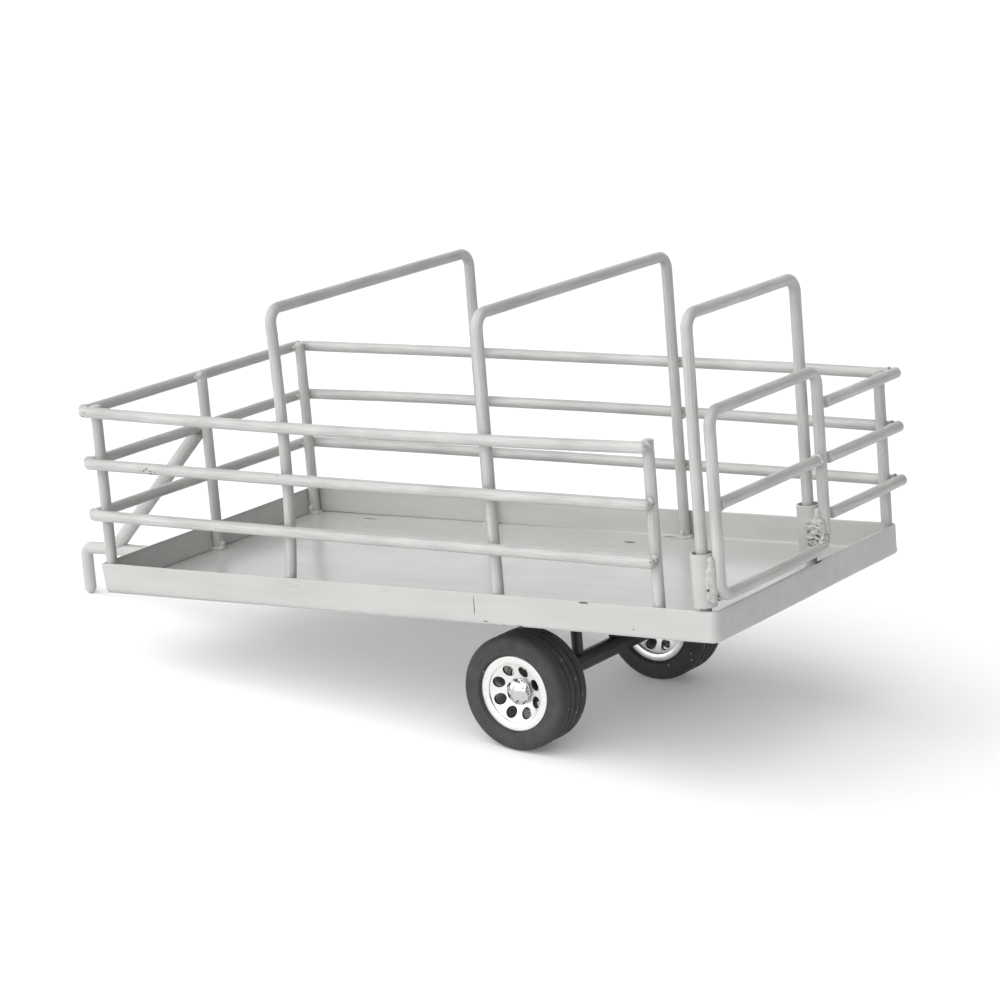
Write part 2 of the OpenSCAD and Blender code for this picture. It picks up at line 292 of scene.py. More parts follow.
# %% The enamel
def enamel(name, light, dark, attribute="", gloss=0.3, stroke=(26, 0.7, 0.7), ridge_mm=0.012,
           specks=(9, 0.4, 0.2), chips_at=0.8, places=()):
    """A brushed enamel between two greys. stroke is a brush mark's size and ridge_mm its height.
    specks are their spacing in mm, their share of the places and their radius in mm."""
    material, tree, in_mm = start_material(name, attribute)
    stretched = add(tree, "ShaderNodeMapping",
                    {"Vector": in_mm, "Scale": [1 / s for s in stroke]}).outputs[0]
    strokes = add(tree, "ShaderNodeTexNoise", {"Vector": stretched, "Scale": 1, "Detail": 3}).outputs["Fac"]
    cloud_mm, peel_mm = 30, 1.4
    clouds = add(tree, "ShaderNodeTexNoise",
                 {"Vector": in_mm, "Scale": 1 / cloud_mm, "Detail": 4}).outputs["Fac"]
    peel = add(tree, "ShaderNodeTexNoise",
               {"Vector": in_mm, "Scale": 1 / peel_mm, "Detail": 1}).outputs["Fac"]

    # Thick and thin paint: slow clouds and the strokes together shift the grey a little
    both = add(tree, "ShaderNodeMath", {0: clouds, 1: strokes}, operation="ADD").outputs[0]
    shade = add(tree, "ShaderNodeMapRange", {"Value": both, "From Min": 0.7, "From Max": 1.3}).outputs[0]
    paint = add(tree, "ShaderNodeMix", {0: shade, 6: linear(dark), 7: linear(light)},
                data_type="RGBA").outputs[2]

    # Dirt specks and pinholes: only the middles of a few cells
    spacing_mm, speck_share, speck_mm = specks
    cells = add(tree, "ShaderNodeTexVoronoi", {"Vector": in_mm, "Scale": 1 / spacing_mm})
    speck = add(tree, "ShaderNodeMapRange", {"Value": cells.outputs["Distance"],
                                            "From Min": speck_mm / spacing_mm,
                                            "From Max": 0.5 * speck_mm / spacing_mm}).outputs[0]
    chosen = add(tree, "ShaderNodeSeparateColor", {0: cells.outputs["Color"]}).outputs[0]
    few = add(tree, "ShaderNodeMath", {0: chosen, 1: speck_share}, operation="LESS_THAN").outputs[0]
    dirt = add(tree, "ShaderNodeMath", {0: speck, 1: few}, operation="MULTIPLY").outputs[0]
    dirty = add(tree, "ShaderNodeMix", {0: dirt, 6: paint, 7: linear("#4C4B4A")},
                data_type="RGBA").outputs[2]

    # Chips: thin dashes along the strokes, where a noise passes a threshold. It passes
    # sooner where the piece says that it is worn, and always at the known places. One of
    # these is no chip but a long thin dark line along the inner side of the rear wall's top edge
    worn = add(tree, "ShaderNodeAttribute", attribute_name="wear").outputs["Fac"]
    dashes = add(tree, "ShaderNodeMapping",
                 {"Vector": in_mm, "Scale": (1 / 2.0, 1 / 0.8, 1 / 0.8)}).outputs[0]
    grains = add(tree, "ShaderNodeTexNoise", {"Vector": dashes, "Scale": 1, "Detail": 3}).outputs["Fac"]
    pushed = add(tree, "ShaderNodeMath", {0: worn, 1: 0.24, 2: grains}, operation="MULTIPLY_ADD").outputs[0]
    chips = add(tree, "ShaderNodeMapRange", {"Value": pushed, "From Min": chips_at,
                                            "From Max": chips_at + 0.03}).outputs[0]
    if places:
        marks = marks_at(tree, in_mm, places)
        chips = add(tree, "ShaderNodeMath", {0: chips, 1: marks}, operation="MAXIMUM").outputs[0]
    colour = add(tree, "ShaderNodeMix", {0: chips, 6: dirty, 7: linear("#4A4948")},
                 data_type="RGBA").outputs[2]

    # Gloss follows the thickness of the paint, and bare steel is dull
    sheen = add(tree, "ShaderNodeMapRange", {"Value": both, "From Min": 0.6, "From Max": 1.4,
                                            "To Min": gloss + 0.06, "To Max": gloss - 0.04}).outputs[0]
    roughness = add(tree, "ShaderNodeMix", {0: chips, 2: sheen, 3: 0.62}).outputs[0]

    # Relief: stroke ridges, orange peel, and the step down into a chip
    peel_height, chip_depth = 0.004 * MM, 0.05 * MM
    ridges = add(tree, "ShaderNodeBump", {"Height": strokes, "Distance": ridge_mm * MM}).outputs[0]
    peeled = add(tree, "ShaderNodeBump",
                 {"Height": peel, "Distance": peel_height, "Normal": ridges}).outputs[0]
    relief = add(tree, "ShaderNodeBump", {"Height": chips, "Distance": chip_depth, "Normal": peeled},
                 invert=True).outputs[0]
    end_material(tree, colour, roughness, relief, IOR=1.5)
    return material


TRAY_MARKS = [  # place in mm in the trailer's own frame, and reach in mm
    ((129.7, -76.2, 68.1), (2.7, 1.0, 0.45)), ((78.0, -76.2, 63.0), (0.24, 1.0, 4.5)),
    ((99.2, -76.2, 56.3), (2.2, 1.0, 0.4)), ((91.0, -76.0, 56.0), (1.0, 1.0, 0.5)),
    ((83.0, -76.2, 57.3), (1.5, 1.0, 0.25)), ((80.0, 72.0, 57.0), (4.0, 0.8, 1.0)),
    ((68.1, 58.7, 57.0), (3.6, 1.3, 1.0)), ((-77.0, 68.0, 57.0), (5.0, 0.7, 1.0)),
    ((-19.0, -54.0, 57.0), (2.0, 1.0, 1.0)),
    ((152.0, -76.2, 59.0), (0.35, 1.0, 0.35)), ((189.0, 6.0, 68.3), (0.6, 4.0, 0.5)),
    # A long thin dark line, drawn along the inner side of the rear wall's top edge
    ((188.1, -4.0, 68.4), (0.4, 90.0, 0.5)),
]
rod_enamel = enamel("brushed_enamel_on_rod", "#C0C0BE", "#A0A09E", attribute="strokes", gloss=0.3,
                    stroke=(14, 0.4, 0.4), ridge_mm=0.03, chips_at=0.75)
sheet_enamel = enamel("brushed_enamel_on_sheet", "#B9B9B7", "#B0B0AE", gloss=0.22, stroke=(50, 6, 6),
                      ridge_mm=0.006, specks=(15, 0.35, 0.22), chips_at=0.86, places=TRAY_MARKS)
weld_enamel = enamel("enamel_pooled_on_weld", "#C0C0BE", "#A2A2A0", gloss=0.2, stroke=(2, 2, 2),
                     specks=(2.8, 0.3, 0.42), chips_at=0.74)
axle_enamel = enamel("black_enamel_on_rod", "#2C2C2D", "#181819", attribute="strokes", gloss=0.4,
                     chips_at=0.9)
axle_weld_enamel = enamel("black_enamel_on_weld", "#2B2B2C", "#19191A", gloss=0.38, chips_at=0.9,
                          stroke=(2, 2, 2))
print("enamels:", [m.name for m in bpy.data.materials])

# %% [markdown]
# ## Tyre rubber
# The tyres are moulded black rubber, grey with age and dusty. Rubber scatters light
# almost evenly, so its roughness is high, 0.7 or more, and there is no edge to its
# shine. The dust is a pale film on the sidewall and a few bright specks.

# %% The rubber
rubber, tree, in_mm = start_material("dusty_moulded_rubber")
film = add(tree, "ShaderNodeTexNoise", {"Vector": in_mm, "Scale": 1 / 6, "Detail": 6, "Roughness": 0.6})
grain = add(tree, "ShaderNodeTexNoise", {"Vector": in_mm, "Scale": 1 / 0.5, "Detail": 3})
film_share = add(tree, "ShaderNodeMapRange", {"Value": film.outputs["Fac"], "From Min": 0.35,
                                             "From Max": 0.75}).outputs[0]
base = add(tree, "ShaderNodeMix", {0: film_share, 6: linear("#2F2F2F"), 7: linear("#424241")},
           data_type="RGBA").outputs[2]
cells = add(tree, "ShaderNodeTexVoronoi", {"Vector": in_mm, "Scale": 1 / 3.2})
dots = add(tree, "ShaderNodeMapRange", {"Value": cells.outputs["Distance"], "From Min": 0.13,
                                       "From Max": 0.06}).outputs[0]
chosen = add(tree, "ShaderNodeSeparateColor", {0: cells.outputs["Color"]}).outputs[1]
few = add(tree, "ShaderNodeMath", {0: chosen, 1: 0.5}, operation="LESS_THAN").outputs[0]
dust = add(tree, "ShaderNodeMath", {0: dots, 1: few}, operation="MULTIPLY").outputs[0]
colour = add(tree, "ShaderNodeMix", {0: dust, 6: base, 7: linear("#B4B4B2")}, data_type="RGBA").outputs[2]
relief = add(tree, "ShaderNodeBump", {"Height": grain.outputs["Fac"], "Distance": 0.07 * MM}).outputs[0]
roughness = add(tree, "ShaderNodeMapRange", {"Value": film.outputs["Fac"], "To Min": 0.62,
                                            "To Max": 0.85}).outputs[0]
end_material(tree, colour, roughness, relief, IOR=1.52)
print("rubber:", rubber.name)

# %% [markdown]
# ## Bright metals
# The rims are satin aluminium, the axle caps are chromed steel and the axle is
# drawn steel rod. All three are metals, so their colour is the colour of their
# reflection and the surface differs only in how rough it is. The aluminium has fine
# polishing scratches, and the pressed caps are not quite round, which breaks their
# reflections into facets.


# %% The metals
def bright_metal(name, colour_hex, roughness_low, roughness_high, mark_mm, relief_mm, detail=4):
    """A polished metal, with marks of a size and a depth in mm."""
    material, tree, in_mm = start_material(name)
    marks = add(tree, "ShaderNodeTexNoise",
                {"Vector": in_mm, "Scale": 1 / mark_mm, "Detail": detail}).outputs["Fac"]
    tarnish = add(tree, "ShaderNodeTexNoise", {"Vector": in_mm, "Scale": 1 / 5, "Detail": 3}).outputs["Fac"]
    dulled = add(tree, "ShaderNodeMapRange", {"Value": tarnish, "From Min": 0.55, "From Max": 0.8,
                                             "To Max": 0.35}).outputs[0]
    colour = add(tree, "ShaderNodeMix", {0: dulled, 6: linear(colour_hex), 7: linear("#9A9A98")},
                 data_type="RGBA").outputs[2]
    roughness = add(tree, "ShaderNodeMapRange", {"Value": marks, "To Min": roughness_low,
                                                "To Max": roughness_high}).outputs[0]
    relief = add(tree, "ShaderNodeBump", {"Height": marks, "Distance": relief_mm * MM}).outputs[0]
    end_material(tree, colour, roughness, relief, Metallic=1)
    return material


rim_metal = bright_metal("satin_turned_aluminium", "#E8E8E6", 0.24, 0.36, mark_mm=2.4, relief_mm=0.012)
# A dark, dull aluminium, painted on the rim's hollow and the walls of its holes as shade
shade_dark_metal = bright_metal("aluminium_darkened_as_shade", "#6E6E6C", 0.55, 0.7, mark_mm=1.2, relief_mm=0.01)
cap_metal = bright_metal("chromed_pressed_steel", "#CACACC", 0.04, 0.1, mark_mm=2.6, relief_mm=1.0,
                         detail=1)
axle_metal = bright_metal("drawn_steel", "#B9B8B5", 0.25, 0.4, mark_mm=0.4, relief_mm=0.005)
print("metals:", rim_metal.name, cap_metal.name, axle_metal.name)

# %% [markdown]
# ## Rods along a path
# Twenty-nine of the trailer's pieces are round rod: straight, or bent over a small
# former. A tree makes them all from a line of two to six points. It rounds the
# corners, samples the line with its points crowded at both tips, so that a cut end
# can be domed by the paint on it, lets the rod wander a little as a hand-straightened
# rod does, and sweeps a circle along it. It also stores where each point is on the
# straightened rod, which is what the brush strokes follow. The brace is a piece of
# threaded rod, so the tree can ripple a rod with rings as well.

# %% The rod tree
rod_tree, given = geometry_tree("Rod along a path", {
    "Radius": "Float", "Bend Radius": "Float", "Tip": "Float", "Points": "Int", "Bow": "Vector",
    "Wander": "Float", "Ring Pitch": "Float", "Ring Depth": "Float", "Seed": "Float",
    "Material": "Material",
})
line = add(rod_tree, "GeometryNodeMeshToCurve", {0: given["Geometry"]})
bent = add(rod_tree, "GeometryNodeFilletCurve", {"Curve": line.outputs[0], "Count": 10,
                                                "Radius": given["Bend Radius"]}, mode="POLY").outputs[0]
length = add(rod_tree, "GeometryNodeCurveLength", {0: bent}).outputs[0]

# The new points, numbered from each end towards the middle
fresh = add(rod_tree, "GeometryNodeCurvePrimitiveLine")
fresh = add(rod_tree, "GeometryNodeResampleCurve", {"Curve": fresh.outputs[0], "Count": given["Points"]},
            mode="COUNT").outputs[0]
index = add(rod_tree, "GeometryNodeInputIndex").outputs[0]
last = add(rod_tree, "ShaderNodeMath", {0: given["Points"], 1: 1}, operation="SUBTRACT").outputs[0]
from_end = add(rod_tree, "ShaderNodeMath", {0: last, 1: index}, operation="SUBTRACT").outputs[0]
rank = add(rod_tree, "ShaderNodeMath", {0: index, 1: from_end}, operation="MINIMUM").outputs[0]

# The first rings dome the tip, and the rest share what is left of the half length
TIP_RINGS = 6
turn = add(rod_tree, "ShaderNodeMapRange", {"Value": rank, "From Max": TIP_RINGS, "To Max": math.pi / 2})
tip_cos = add(rod_tree, "ShaderNodeMath", {0: turn.outputs[0]}, operation="COSINE").outputs[0]
tip_sin = add(rod_tree, "ShaderNodeMath", {0: turn.outputs[0]}, operation="SINE").outputs[0]
into_tip = add(rod_tree, "ShaderNodeMath", {0: 1, 1: tip_cos}, operation="SUBTRACT").outputs[0]
tip_run = add(rod_tree, "ShaderNodeMath", {0: into_tip, 1: given["Tip"]}, operation="MULTIPLY").outputs[0]
half_points = add(rod_tree, "ShaderNodeMath", {0: last, 1: 0.5}, operation="MULTIPLY").outputs[0]
half_length = add(rod_tree, "ShaderNodeMath", {0: length, 1: 0.5}, operation="MULTIPLY").outputs[0]
body_length = add(rod_tree, "ShaderNodeMath", {0: half_length, 1: given["Tip"]},
                  operation="SUBTRACT").outputs[0]
body_run = add(rod_tree, "ShaderNodeMapRange", {"Value": rank, "From Min": TIP_RINGS,
                                               "From Max": half_points, "To Max": body_length}).outputs[0]
run = add(rod_tree, "ShaderNodeMath", {0: tip_run, 1: body_run}, operation="ADD").outputs[0]
far_run = add(rod_tree, "ShaderNodeMath", {0: length, 1: run}, operation="SUBTRACT").outputs[0]
past_half = add(rod_tree, "FunctionNodeCompare", {0: index, 1: half_points}, operation="GREATER_THAN")
along = add(rod_tree, "GeometryNodeSwitch", {0: past_half.outputs[0], 1: run, 2: far_run},
            input_type="FLOAT").outputs[0]
sample = add(rod_tree, "GeometryNodeSampleCurve", {"Curves": bent, "Length": along}, mode="LENGTH")
placed = add(rod_tree, "GeometryNodeSetPosition",
             {0: fresh, "Position": sample.outputs["Position"]}).outputs[0]

# A bow is a parabola over the rod's length, and the wander is a slow noise
share = add(rod_tree, "ShaderNodeMath", {0: along, 1: length}, operation="DIVIDE").outputs[0]
rest = add(rod_tree, "ShaderNodeMath", {0: 1, 1: share}, operation="SUBTRACT").outputs[0]
arch = add(rod_tree, "ShaderNodeMath", {0: share, 1: rest}, operation="MULTIPLY").outputs[0]
arch = add(rod_tree, "ShaderNodeMath", {0: arch, 1: 4}, operation="MULTIPLY").outputs[0]
bow = add(rod_tree, "ShaderNodeVectorMath", {0: given["Bow"], "Scale": arch}, operation="SCALE").outputs[0]
drift = add(rod_tree, "ShaderNodeTexNoise", {"W": given["Seed"], "Scale": 14, "Detail": 1},
            noise_dimensions="4D").outputs["Color"]
drift = add(rod_tree, "ShaderNodeVectorMath", {0: drift, 1: (0.5, 0.5, 0.5)},
            operation="SUBTRACT").outputs[0]
drift = add(rod_tree, "ShaderNodeVectorMath", {0: drift, "Scale": given["Wander"]},
            operation="SCALE").outputs[0]
offset = add(rod_tree, "ShaderNodeVectorMath", {0: bow, 1: drift}, operation="ADD").outputs[0]
moved = add(rod_tree, "GeometryNodeSetPosition", {0: placed, "Offset": offset}).outputs[0]

# Where a point is on the straightened rod: its run along it, and its place in the section
shifted = add(rod_tree, "ShaderNodeMath", {0: given["Seed"], 1: 0.173, 2: along},
              operation="MULTIPLY_ADD").outputs[0]
tagged = add(rod_tree, "GeometryNodeStoreNamedAttribute",
             {0: moved, "Name": "along", "Value": shifted}).outputs[0]
circle = add(rod_tree, "GeometryNodeCurvePrimitiveCircle", {"Resolution": 24, "Radius": given["Radius"]})
position = add(rod_tree, "GeometryNodeInputPosition").outputs[0]
circle = add(rod_tree, "GeometryNodeStoreNamedAttribute",
             {0: circle.outputs[0], "Name": "section", "Value": position},
             data_type="FLOAT_VECTOR").outputs[0]
per_ring = add(rod_tree, "ShaderNodeMath", {0: along, 1: given["Ring Pitch"]},
               operation="DIVIDE").outputs[0]
ring_turn = add(rod_tree, "ShaderNodeMath", {0: per_ring, 1: math.tau}, operation="MULTIPLY").outputs[0]
ring_wave = add(rod_tree, "ShaderNodeMath", {0: ring_turn}, operation="COSINE").outputs[0]
ring_share = add(rod_tree, "ShaderNodeMath", {0: ring_wave, 1: given["Ring Depth"], 2: 1},
                 operation="MULTIPLY_ADD").outputs[0]
width = add(rod_tree, "ShaderNodeMath", {0: tip_sin, 1: ring_share}, operation="MULTIPLY").outputs[0]
swept = add(rod_tree, "GeometryNodeCurveToMesh",
            {"Curve": tagged, "Profile Curve": circle, "Scale": width}).outputs[0]
closed = add(rod_tree, "GeometryNodeMergeByDistance", {0: swept, "Distance": 0.001 * MM}).outputs[0]
run_tag = add(rod_tree, "GeometryNodeInputNamedAttribute", {"Name": "along"}, data_type="FLOAT").outputs[0]
section_tag = add(rod_tree, "GeometryNodeInputNamedAttribute", {"Name": "section"},
                  data_type="FLOAT_VECTOR")
section_parts = add(rod_tree, "ShaderNodeSeparateXYZ", {0: section_tag.outputs[0]}).outputs
straight = add(rod_tree, "ShaderNodeCombineXYZ",
               {0: run_tag, 1: section_parts[0], 2: section_parts[1]}).outputs[0]
marked = add(rod_tree, "GeometryNodeStoreNamedAttribute", {0: closed, "Name": "strokes", "Value": straight},
             data_type="FLOAT_VECTOR").outputs[0]
close_tree(rod_tree, marked, given["Material"])
print("rod tree:", len(rod_tree.nodes), "nodes")


# %% Making one rod
RING_STEP = 1.2 * MM
rod_count = 0


def make_rod(name, path, material, radius=ROD_R, bend=BEND_R, tip=0.6 * MM, bow=(0, 0, 0),
             wander=0.5 * MM, step=RING_STEP, ring_pitch=1.0, ring_depth=0.0):
    """One rod along a path of points, with a different wander and brush pattern each time."""
    global rod_count
    rod_count += 1
    run = sum((b - a).length for a, b in zip(path, path[1:]))
    return run_tree(name, rod_tree, chains_mesh(name, [path]), {
        "Radius": radius, "Bend Radius": bend if len(path) > 2 else 0.0, "Tip": tip,
        "Points": int(run / step) + 2 * TIP_RINGS + 1, "Bow": bow, "Wander": wander,
        "Ring Pitch": ring_pitch, "Ring Depth": ring_depth, "Seed": float(rod_count), "Material": material,
    })


def straight_path(node):
    """The two ends of a straight rod, from its CAD node's box."""
    low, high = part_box(node)
    start, end = (low + high) / 2, (low + high) / 2
    axis = max(range(3), key=lambda i: high[i] - low[i])
    start[axis], end[axis] = low[axis], high[axis]
    if axis == 0:  # a side rail, which falls towards the gate
        start.z, end.z = high.z - ROD_R, low.z + ROD_R
    return [start, end]


# %% [markdown]
# ## Posts and rails
# Five posts and twelve rails, each one a cut length of rod. The rails were not quite
# straight when they were welded on: the near top rail sags in the middle of its
# length, and the far middle rail is sprung upwards.

# %% Posts and rails
POSTS = ["front_near_post", "front_far_post", "rear_far_post", "near_end_post", "centre_stake"]
RAILS = [f"{side}_rail_{level}" for side in ("near", "far", "front", "rear") for level in ("low", "mid",
                                                                                           "top")]
BOWS = {
    "near_rail_top": (0, 0, -1.5 * MM), "far_rail_mid": (0, 0, 1.5 * MM), "far_rail_top": (0, 0, 0.6 * MM),
    "near_rail_mid": (0, 0, -0.5 * MM), "far_rail_low": (0, 0, 0.5 * MM),
}
LAPPED_TIP = 1.9 * MM
for node in POSTS + RAILS:
    lapped = node.startswith("near_rail")
    rod = make_rod("painted_" + node, straight_path(node), rod_enamel, bow=BOWS.get(node, (0, 0, 0)),
                   tip=LAPPED_TIP if lapped else 0.6 * MM)
    hand_over(rod, "trailer", "pale_enamel", node)
print("posts and rails:", len(POSTS + RAILS))

# %% [markdown]
# ## Hoops
# Three hoops arch over the tray. Each is one rod with two bends and its feet on the
# floor, so its path is four points. The near leg of the front hoop was pulled out of
# line before it was welded down: it swells towards the gate at rail height and kicks
# back to the hitch at its foot, so that leg gets a few more points.


# %% The three hoops
def hoop_path(node):
    """A hoop's foot, two corners and other foot, from its CAD node's box."""
    low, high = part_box(node)
    x, top = (low.x + high.x) / 2, high.z - ROD_R
    near, far = low.y + ROD_R, high.y - ROD_R
    return [Vector((x, near, low.z)), Vector((x, near, top)), Vector((x, far, top)),
            Vector((x, far, low.z))]


def pulled_leg(foot, corner):
    """Points down a leg that was pulled out of line, from its foot up to below its bend."""
    drop = corner - foot
    points = []
    for step in range(15):
        share = step / 16
        swell = 1.5 * math.sin(math.pi * share) * MM
        kick = -3.4 * (1 - share) ** 5 * MM
        points.append(foot + drop * share + Vector((swell + kick, 0, 0)))
    return points


front_path = hoop_path("front_hoop")
front_path = pulled_leg(front_path[0], front_path[1]) + front_path[1:]
for node, path in (("front_hoop", front_path), ("middle_hoop", hoop_path("middle_hoop")),
                   ("gate_hoop", hoop_path("gate_hoop"))):
    hoop = make_rod("painted_" + node, path, rod_enamel, step=1.0 * MM)
    hand_over(hoop, "trailer", "pale_enamel", node)
print("hoops: 3")

# %% [markdown]
# ## Drawbar and brace
# The drawbar is a thicker rod under the floor. It is bent straight down at its front
# into a short hook, and the hook's tip is ground round, so its tip is a half ball.
# The brace is a length of quarter-inch threaded rod from the drawbar up to the middle
# front rail, with its thread nearly filled by paint.

# %% Drawbar and brace
bar_low, bar_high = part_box("drawbar")
BAR_R = (bar_high.y - bar_low.y) / 2
bar_z = bar_high.z - BAR_R
hook_x = bar_low.x + BAR_R
bar_path = [Vector((bar_high.x, 0, bar_z)), Vector((hook_x, 0, bar_z)), Vector((hook_x, 0, bar_low.z))]
drawbar = make_rod("painted_drawbar", bar_path, rod_enamel, radius=BAR_R, bend=HOOK_BEND_R, tip=BAR_R,
                   step=0.7 * MM, wander=0.3 * MM)
hand_over(drawbar, "trailer", "pale_enamel", "drawbar")

brace_low, brace_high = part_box("drawbar_brace")
BRACE_R = (brace_high.y - brace_low.y) / 2
THREAD_PITCH = 1.27 * MM
BRACE_REACH = 57.5 * MM
mid_rail = middle("front_rail_mid")
brace_foot = Vector((tray_low.x - BRACE_REACH, 0, bar_z))
brace_top = Vector((mid_rail.x, 0, mid_rail.z - 1.8 * MM))
brace = make_rod("painted_brace", [brace_foot, brace_top], rod_enamel, radius=BRACE_R * 0.97, tip=1.5 * MM,
                 step=THREAD_PITCH / 6, ring_pitch=THREAD_PITCH, ring_depth=0.045, wander=0.1 * MM)
hand_over(brace, "trailer", "pale_enamel", "drawbar_brace")
print("hook tip at z =", round(bar_low.z / MM, 1), "mm")

# %% [markdown]
# ## Lift gate
# The gate is one rod bent into a rectangle, a middle bar, and two short tubes that
# slide up and down the rear hoop's legs. The rectangle's two ends meet on the far
# upright, where the far tube's weld hides the joint. The tubes are turned from a
# profile, a short ring with rounded lips.

# %% Gate frame and middle bar
gate_low, gate_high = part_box("gate_frame")
gate_x = (gate_low.x + gate_high.x) / 2
left, right = gate_low.y + ROD_R, gate_high.y - ROD_R
bottom, top = gate_low.z + ROD_R, gate_high.z - ROD_R
joint_z = middle("far_gate_sleeve").z
LAP = 0.8 * MM
loop = [(right, joint_z - LAP), (right, top), (left, top), (left, bottom), (right, bottom),
        (right, joint_z + LAP)]
gate_frame = make_rod("painted_gate_frame", [Vector((gate_x, y, z)) for y, z in loop], rod_enamel,
                      step=1.0 * MM, wander=0.3 * MM, tip=0.2 * MM)
hand_over(gate_frame, "gate", "pale_enamel", "gate_frame")
mid_bar = make_rod("painted_gate_mid_bar", straight_path("gate_mid_bar"), rod_enamel)
hand_over(mid_bar, "gate", "pale_enamel", "gate_mid_bar")
print("gate:", round((right - left) / MM, 1), "mm between its uprights")


# %% Turning a profile
def turned(name, profiles, centre, axis, material, segments=64, sharp=35):
    """Spins closed profiles of (radius, run along the axis) points round an axis through centre."""
    grid = bmesh.new()
    side = axis.orthogonal().normalized()
    other = axis.cross(side).normalized()
    for profile in profiles:
        rings = []
        for number in range(segments):
            angle = math.tau * number / segments
            out = side * math.cos(angle) + other * math.sin(angle)
            rings.append([grid.verts.new(centre + out * r + axis * h) for r, h in profile])
        for here, after in zip(rings, rings[1:] + rings[:1]):
            for i in range(len(profile)):
                j = (i + 1) % len(profile)
                grid.faces.new((here[i], after[i], after[j], here[j]))
    bmesh.ops.remove_doubles(grid, verts=grid.verts, dist=0.0005 * MM)
    if grid.calc_volume(signed=True) < 0:
        bmesh.ops.reverse_faces(grid, faces=grid.faces)
    mesh = bpy.data.meshes.new(name)
    grid.to_mesh(mesh)
    grid.free()
    mesh.shade_smooth()
    mesh.set_sharp_from_angle(angle=math.radians(sharp))
    mesh.materials.append(material)
    return show(name, mesh)


def arc(centre, radius, start, end, steps=5):
    """Points on an arc, with the angles in degrees."""
    angles = [math.radians(start + (end - start) * i / steps) for i in range(steps + 1)]
    return [(centre[0] + radius * math.cos(a), centre[1] + radius * math.sin(a)) for a in angles]


# %% The two sleeves
UP = Vector((0, 0, 1))
SLEEVE_BORE_R = 3.95 * MM
SLEEVE_LIP = 0.25 * MM
for node in ("near_gate_sleeve", "far_gate_sleeve"):
    low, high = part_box(node)
    outer, height = (high.y - low.y) / 2, high.z - low.z
    lip = SLEEVE_LIP
    profile = (arc((outer - lip, height / 2 - lip), lip, 0, 90)
               + arc((SLEEVE_BORE_R + lip, height / 2 - lip), lip, 90, 180)
               + arc((SLEEVE_BORE_R + lip, lip - height / 2), lip, 180, 270)
               + arc((outer - lip, lip - height / 2), lip, 270, 360))
    sleeve = turned("painted_" + node, [profile], middle(node), UP, sheet_enamel)
    hand_over(sleeve, "gate", "pale_enamel", node)
print("sleeves: outside diameter", round(2 * outer / MM, 2), "mm")

# %% [markdown]
# ## Tray
# The tray is one sheet with its four sides folded up. Its section is drawn once, from
# the bend under the wall, up and over the wall's edge, and down to the floor, and is
# then carried round the tray's outline. The outline has two rounded corners at the
# rear and two tight welded ones at the front. Cuts across the sheet then give it
# enough points to be bent: real sheet this thin is never quite flat, and the front
# wall was not folded to a full right angle.

# %% Section and outline of the tray
FOLD_R = 1.5 * MM
EDGE_R = 0.35 * MM
FILLET_R = 0.7 * MM
REAR_CORNER_R, FRONT_CORNER_R = 3.5 * MM, 0.9 * MM
wall_h = tray_high.z - tray_low.z
section = [(-x, z) for x, z in arc((-FOLD_R, FOLD_R), FOLD_R, 270, 360)]
section += [(-x, z) for x, z in arc((-EDGE_R, wall_h - EDGE_R), EDGE_R, 0, 90)]
section += [(-x, z) for x, z in arc((EDGE_R - SHEET, wall_h - EDGE_R), EDGE_R, 90, 180)]
section += [(-x, z) for x, z in arc((-SHEET - FILLET_R, SHEET + FILLET_R), FILLET_R, 0, -90)]


def tray_ring(inset, z):
    """The tray's outline at a distance inside its outer face, at a height above its underside."""
    ring = []
    for x, y, radius, start in ((tray_high.x, tray_high.y, REAR_CORNER_R, 0),
                                (tray_low.x, tray_high.y, FRONT_CORNER_R, 90),
                                (tray_low.x, tray_low.y, FRONT_CORNER_R, 180),
                                (tray_high.x, tray_low.y, REAR_CORNER_R, 270)):
        hub = (x - math.copysign(radius, x), y - math.copysign(radius, y))
        bend = max(radius - inset, 0.05 * MM)
        pull = radius - inset - bend
        hub = (hub[0] + math.copysign(pull, x), hub[1] + math.copysign(pull, y))
        ring += [Vector((px, py, tray_low.z + z)) for px, py in arc(hub, bend, start, start + 90, 8)]
    return ring


# %% The tray's mesh
sheet = bmesh.new()
rings = [[sheet.verts.new(p) for p in tray_ring(inset, z)] for inset, z in section]
for lower, upper in zip(rings, rings[1:]):
    for i in range(len(lower)):
        j = (i + 1) % len(lower)
        sheet.faces.new((lower[i], lower[j], upper[j], upper[i]))
sheet.faces.new(list(reversed(rings[0])))
sheet.faces.new(rings[-1])
CUT_MM = 5
for axis, low, high in ((Vector((1, 0, 0)), tray_low.x, tray_high.x),
                        (Vector((0, 1, 0)), tray_low.y, tray_high.y)):
    cuts = int((high - low) / MM / CUT_MM)
    for number in range(1, cuts):
        at = axis * (low + (high - low) * number / cuts)
        everything = sheet.verts[:] + sheet.edges[:] + sheet.faces[:]
        bmesh.ops.bisect_plane(sheet, geom=everything, plane_co=at, plane_no=axis)
for number in range(1, 5):
    everything = sheet.verts[:] + sheet.edges[:] + sheet.faces[:]
    bmesh.ops.bisect_plane(sheet, geom=everything, plane_co=UP * (tray_low.z + wall_h * number / 5),
                           plane_no=UP)
LEAN = 1.7 * MM
NOISE_SEED = 7  # without one this noise starts from the clock, and the sheet differs in each run
noise.seed_set(NOISE_SEED)
